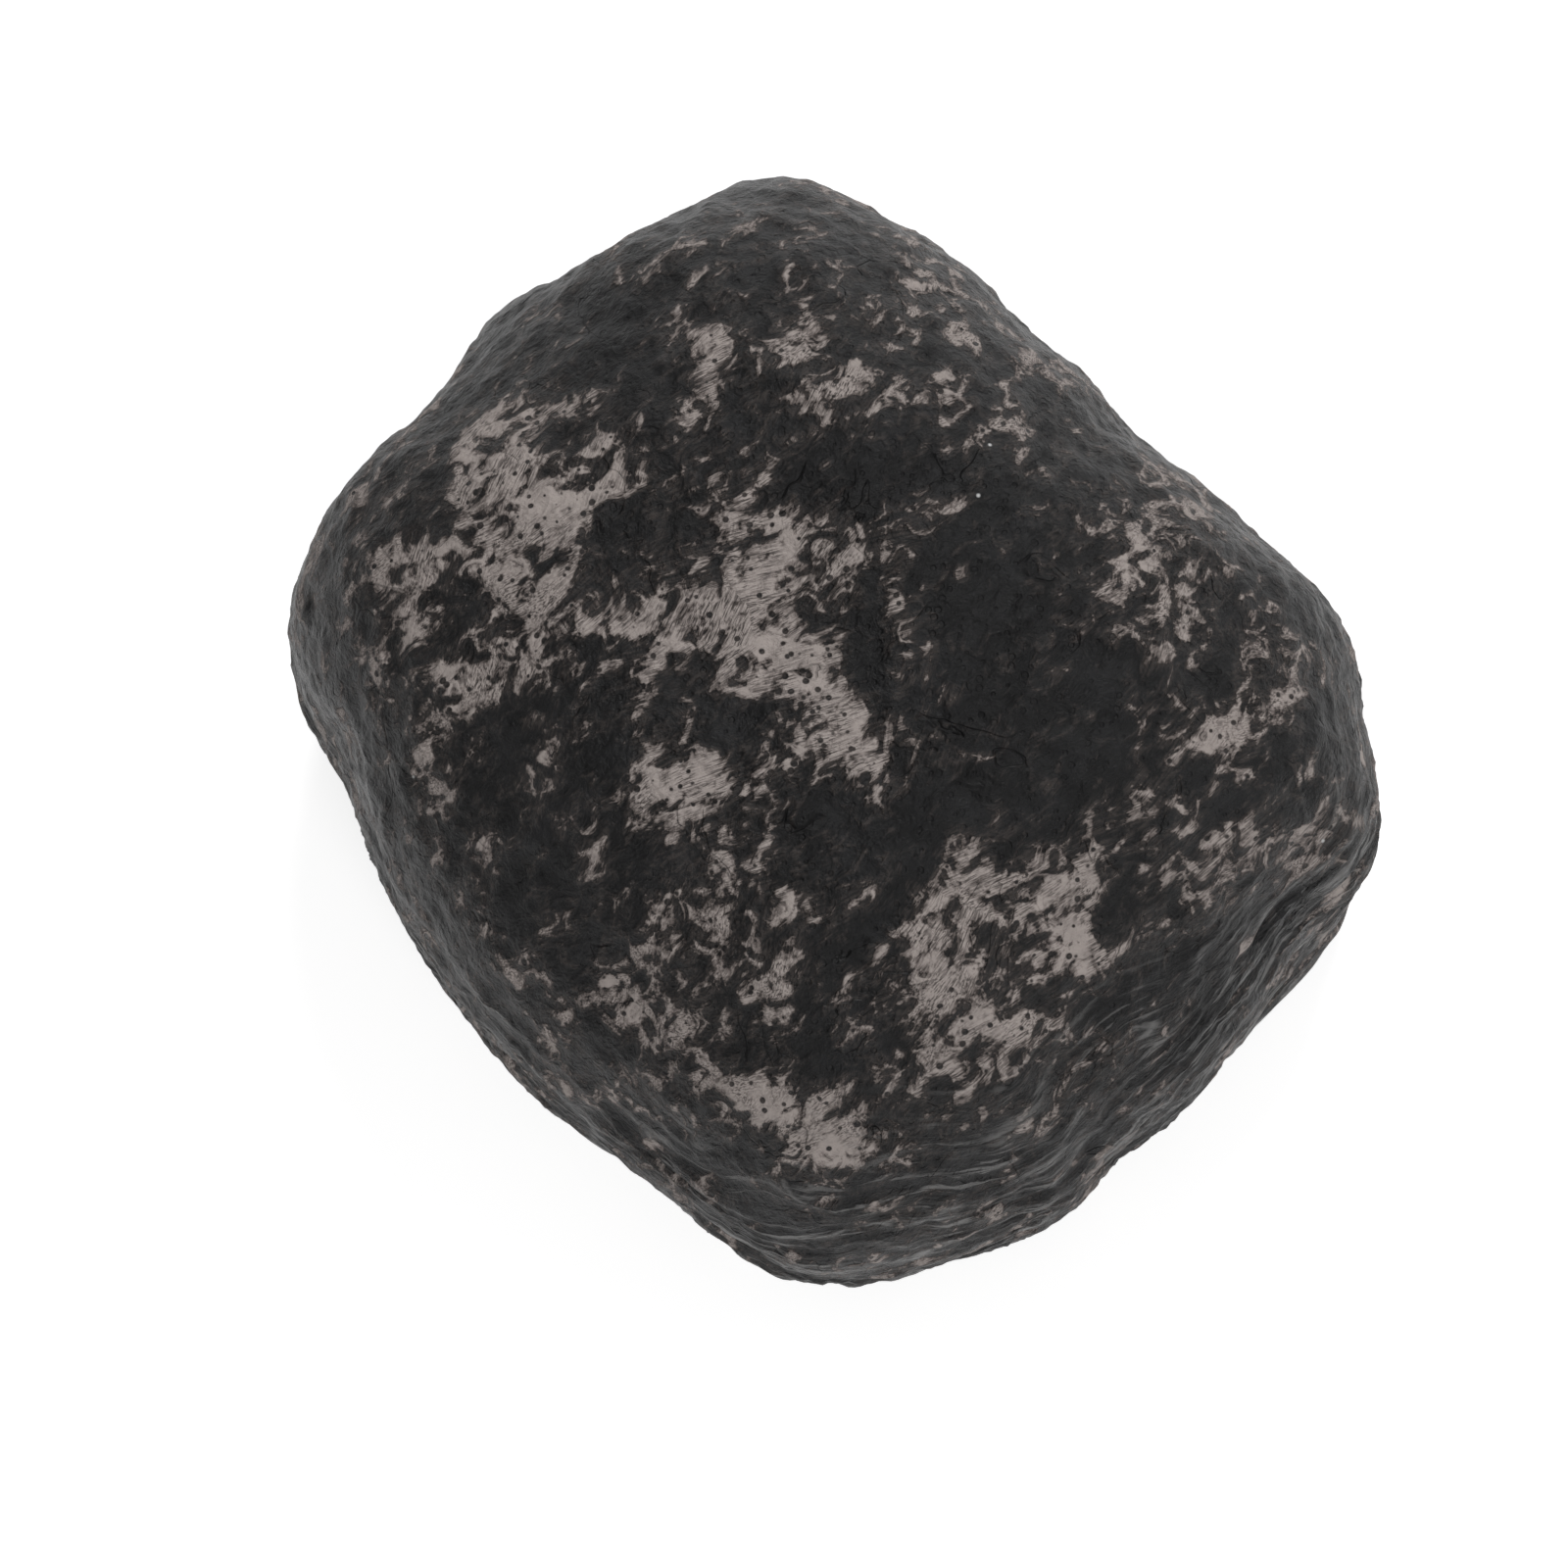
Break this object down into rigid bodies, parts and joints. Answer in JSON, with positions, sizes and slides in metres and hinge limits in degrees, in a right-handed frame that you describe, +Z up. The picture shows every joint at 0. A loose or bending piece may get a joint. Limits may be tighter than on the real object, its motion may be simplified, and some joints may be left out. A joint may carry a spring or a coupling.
{
  "type": "hide a key rock",
  "caption": "Hollow cast-resin rock that hides a spare key, with a screwed base plate, a key tray and a hinged door with a quarter-turn latch underneath.",
  "frame": {"origin": "middle of the rock's underside, on the surface that it stands on", "axes": "+X along the rock's long way, +Y across it, +Z up"},
  "size_m": [0.1588, 0.1381, 0.075],
  "materials": {
    "rock_resin": "satin",
    "brass_insert": "satin",
    "gasket_rubber": "matte",
    "moulded_base": "matte",
    "steel_screw": "satin",
    "moulded_tray": "matte",
    "foam": "matte",
    "steel_pin": "satin",
    "moulded_door": "matte",
    "seal_rubber": "matte",
    "latch_plastic": "satin",
    "cam_steel": "satin"
  },
  "bodies": {
    "rock": {"rock_shell": "rock_resin", "base_inserts": "brass_insert", "base_gasket": "gasket_rubber", "base_plate": "moulded_base", "base_screws": "steel_screw", "key_tray": "moulded_tray", "tray_screws": "steel_screw", "tray_foam": "foam", "hinge_pin": "steel_pin"},
    "door": {"door": "moulded_door", "door_seal": "seal_rubber", "door_foam": "foam"},
    "latch": {"latch_knob": "latch_plastic", "knob_oring": "seal_rubber", "cam_washer": "steel_pin", "latch_cam": "cam_steel", "cam_screw": "steel_screw"}
  },
  "joints": [
    {"name": "door_hinge", "type": "hinge", "parent": "rock", "child": "door", "pos_m": [0.003, -0.0295, 0.0029], "axis": [-1, 0, 0], "range_deg": [0, 110]},
    {"name": "latch_turn", "type": "hinge", "parent": "door", "child": "latch", "pos_m": [0.003, 0.0215, 0.0015], "axis": [0, 0, 1], "range_deg": [0, 90]}
  ]
}
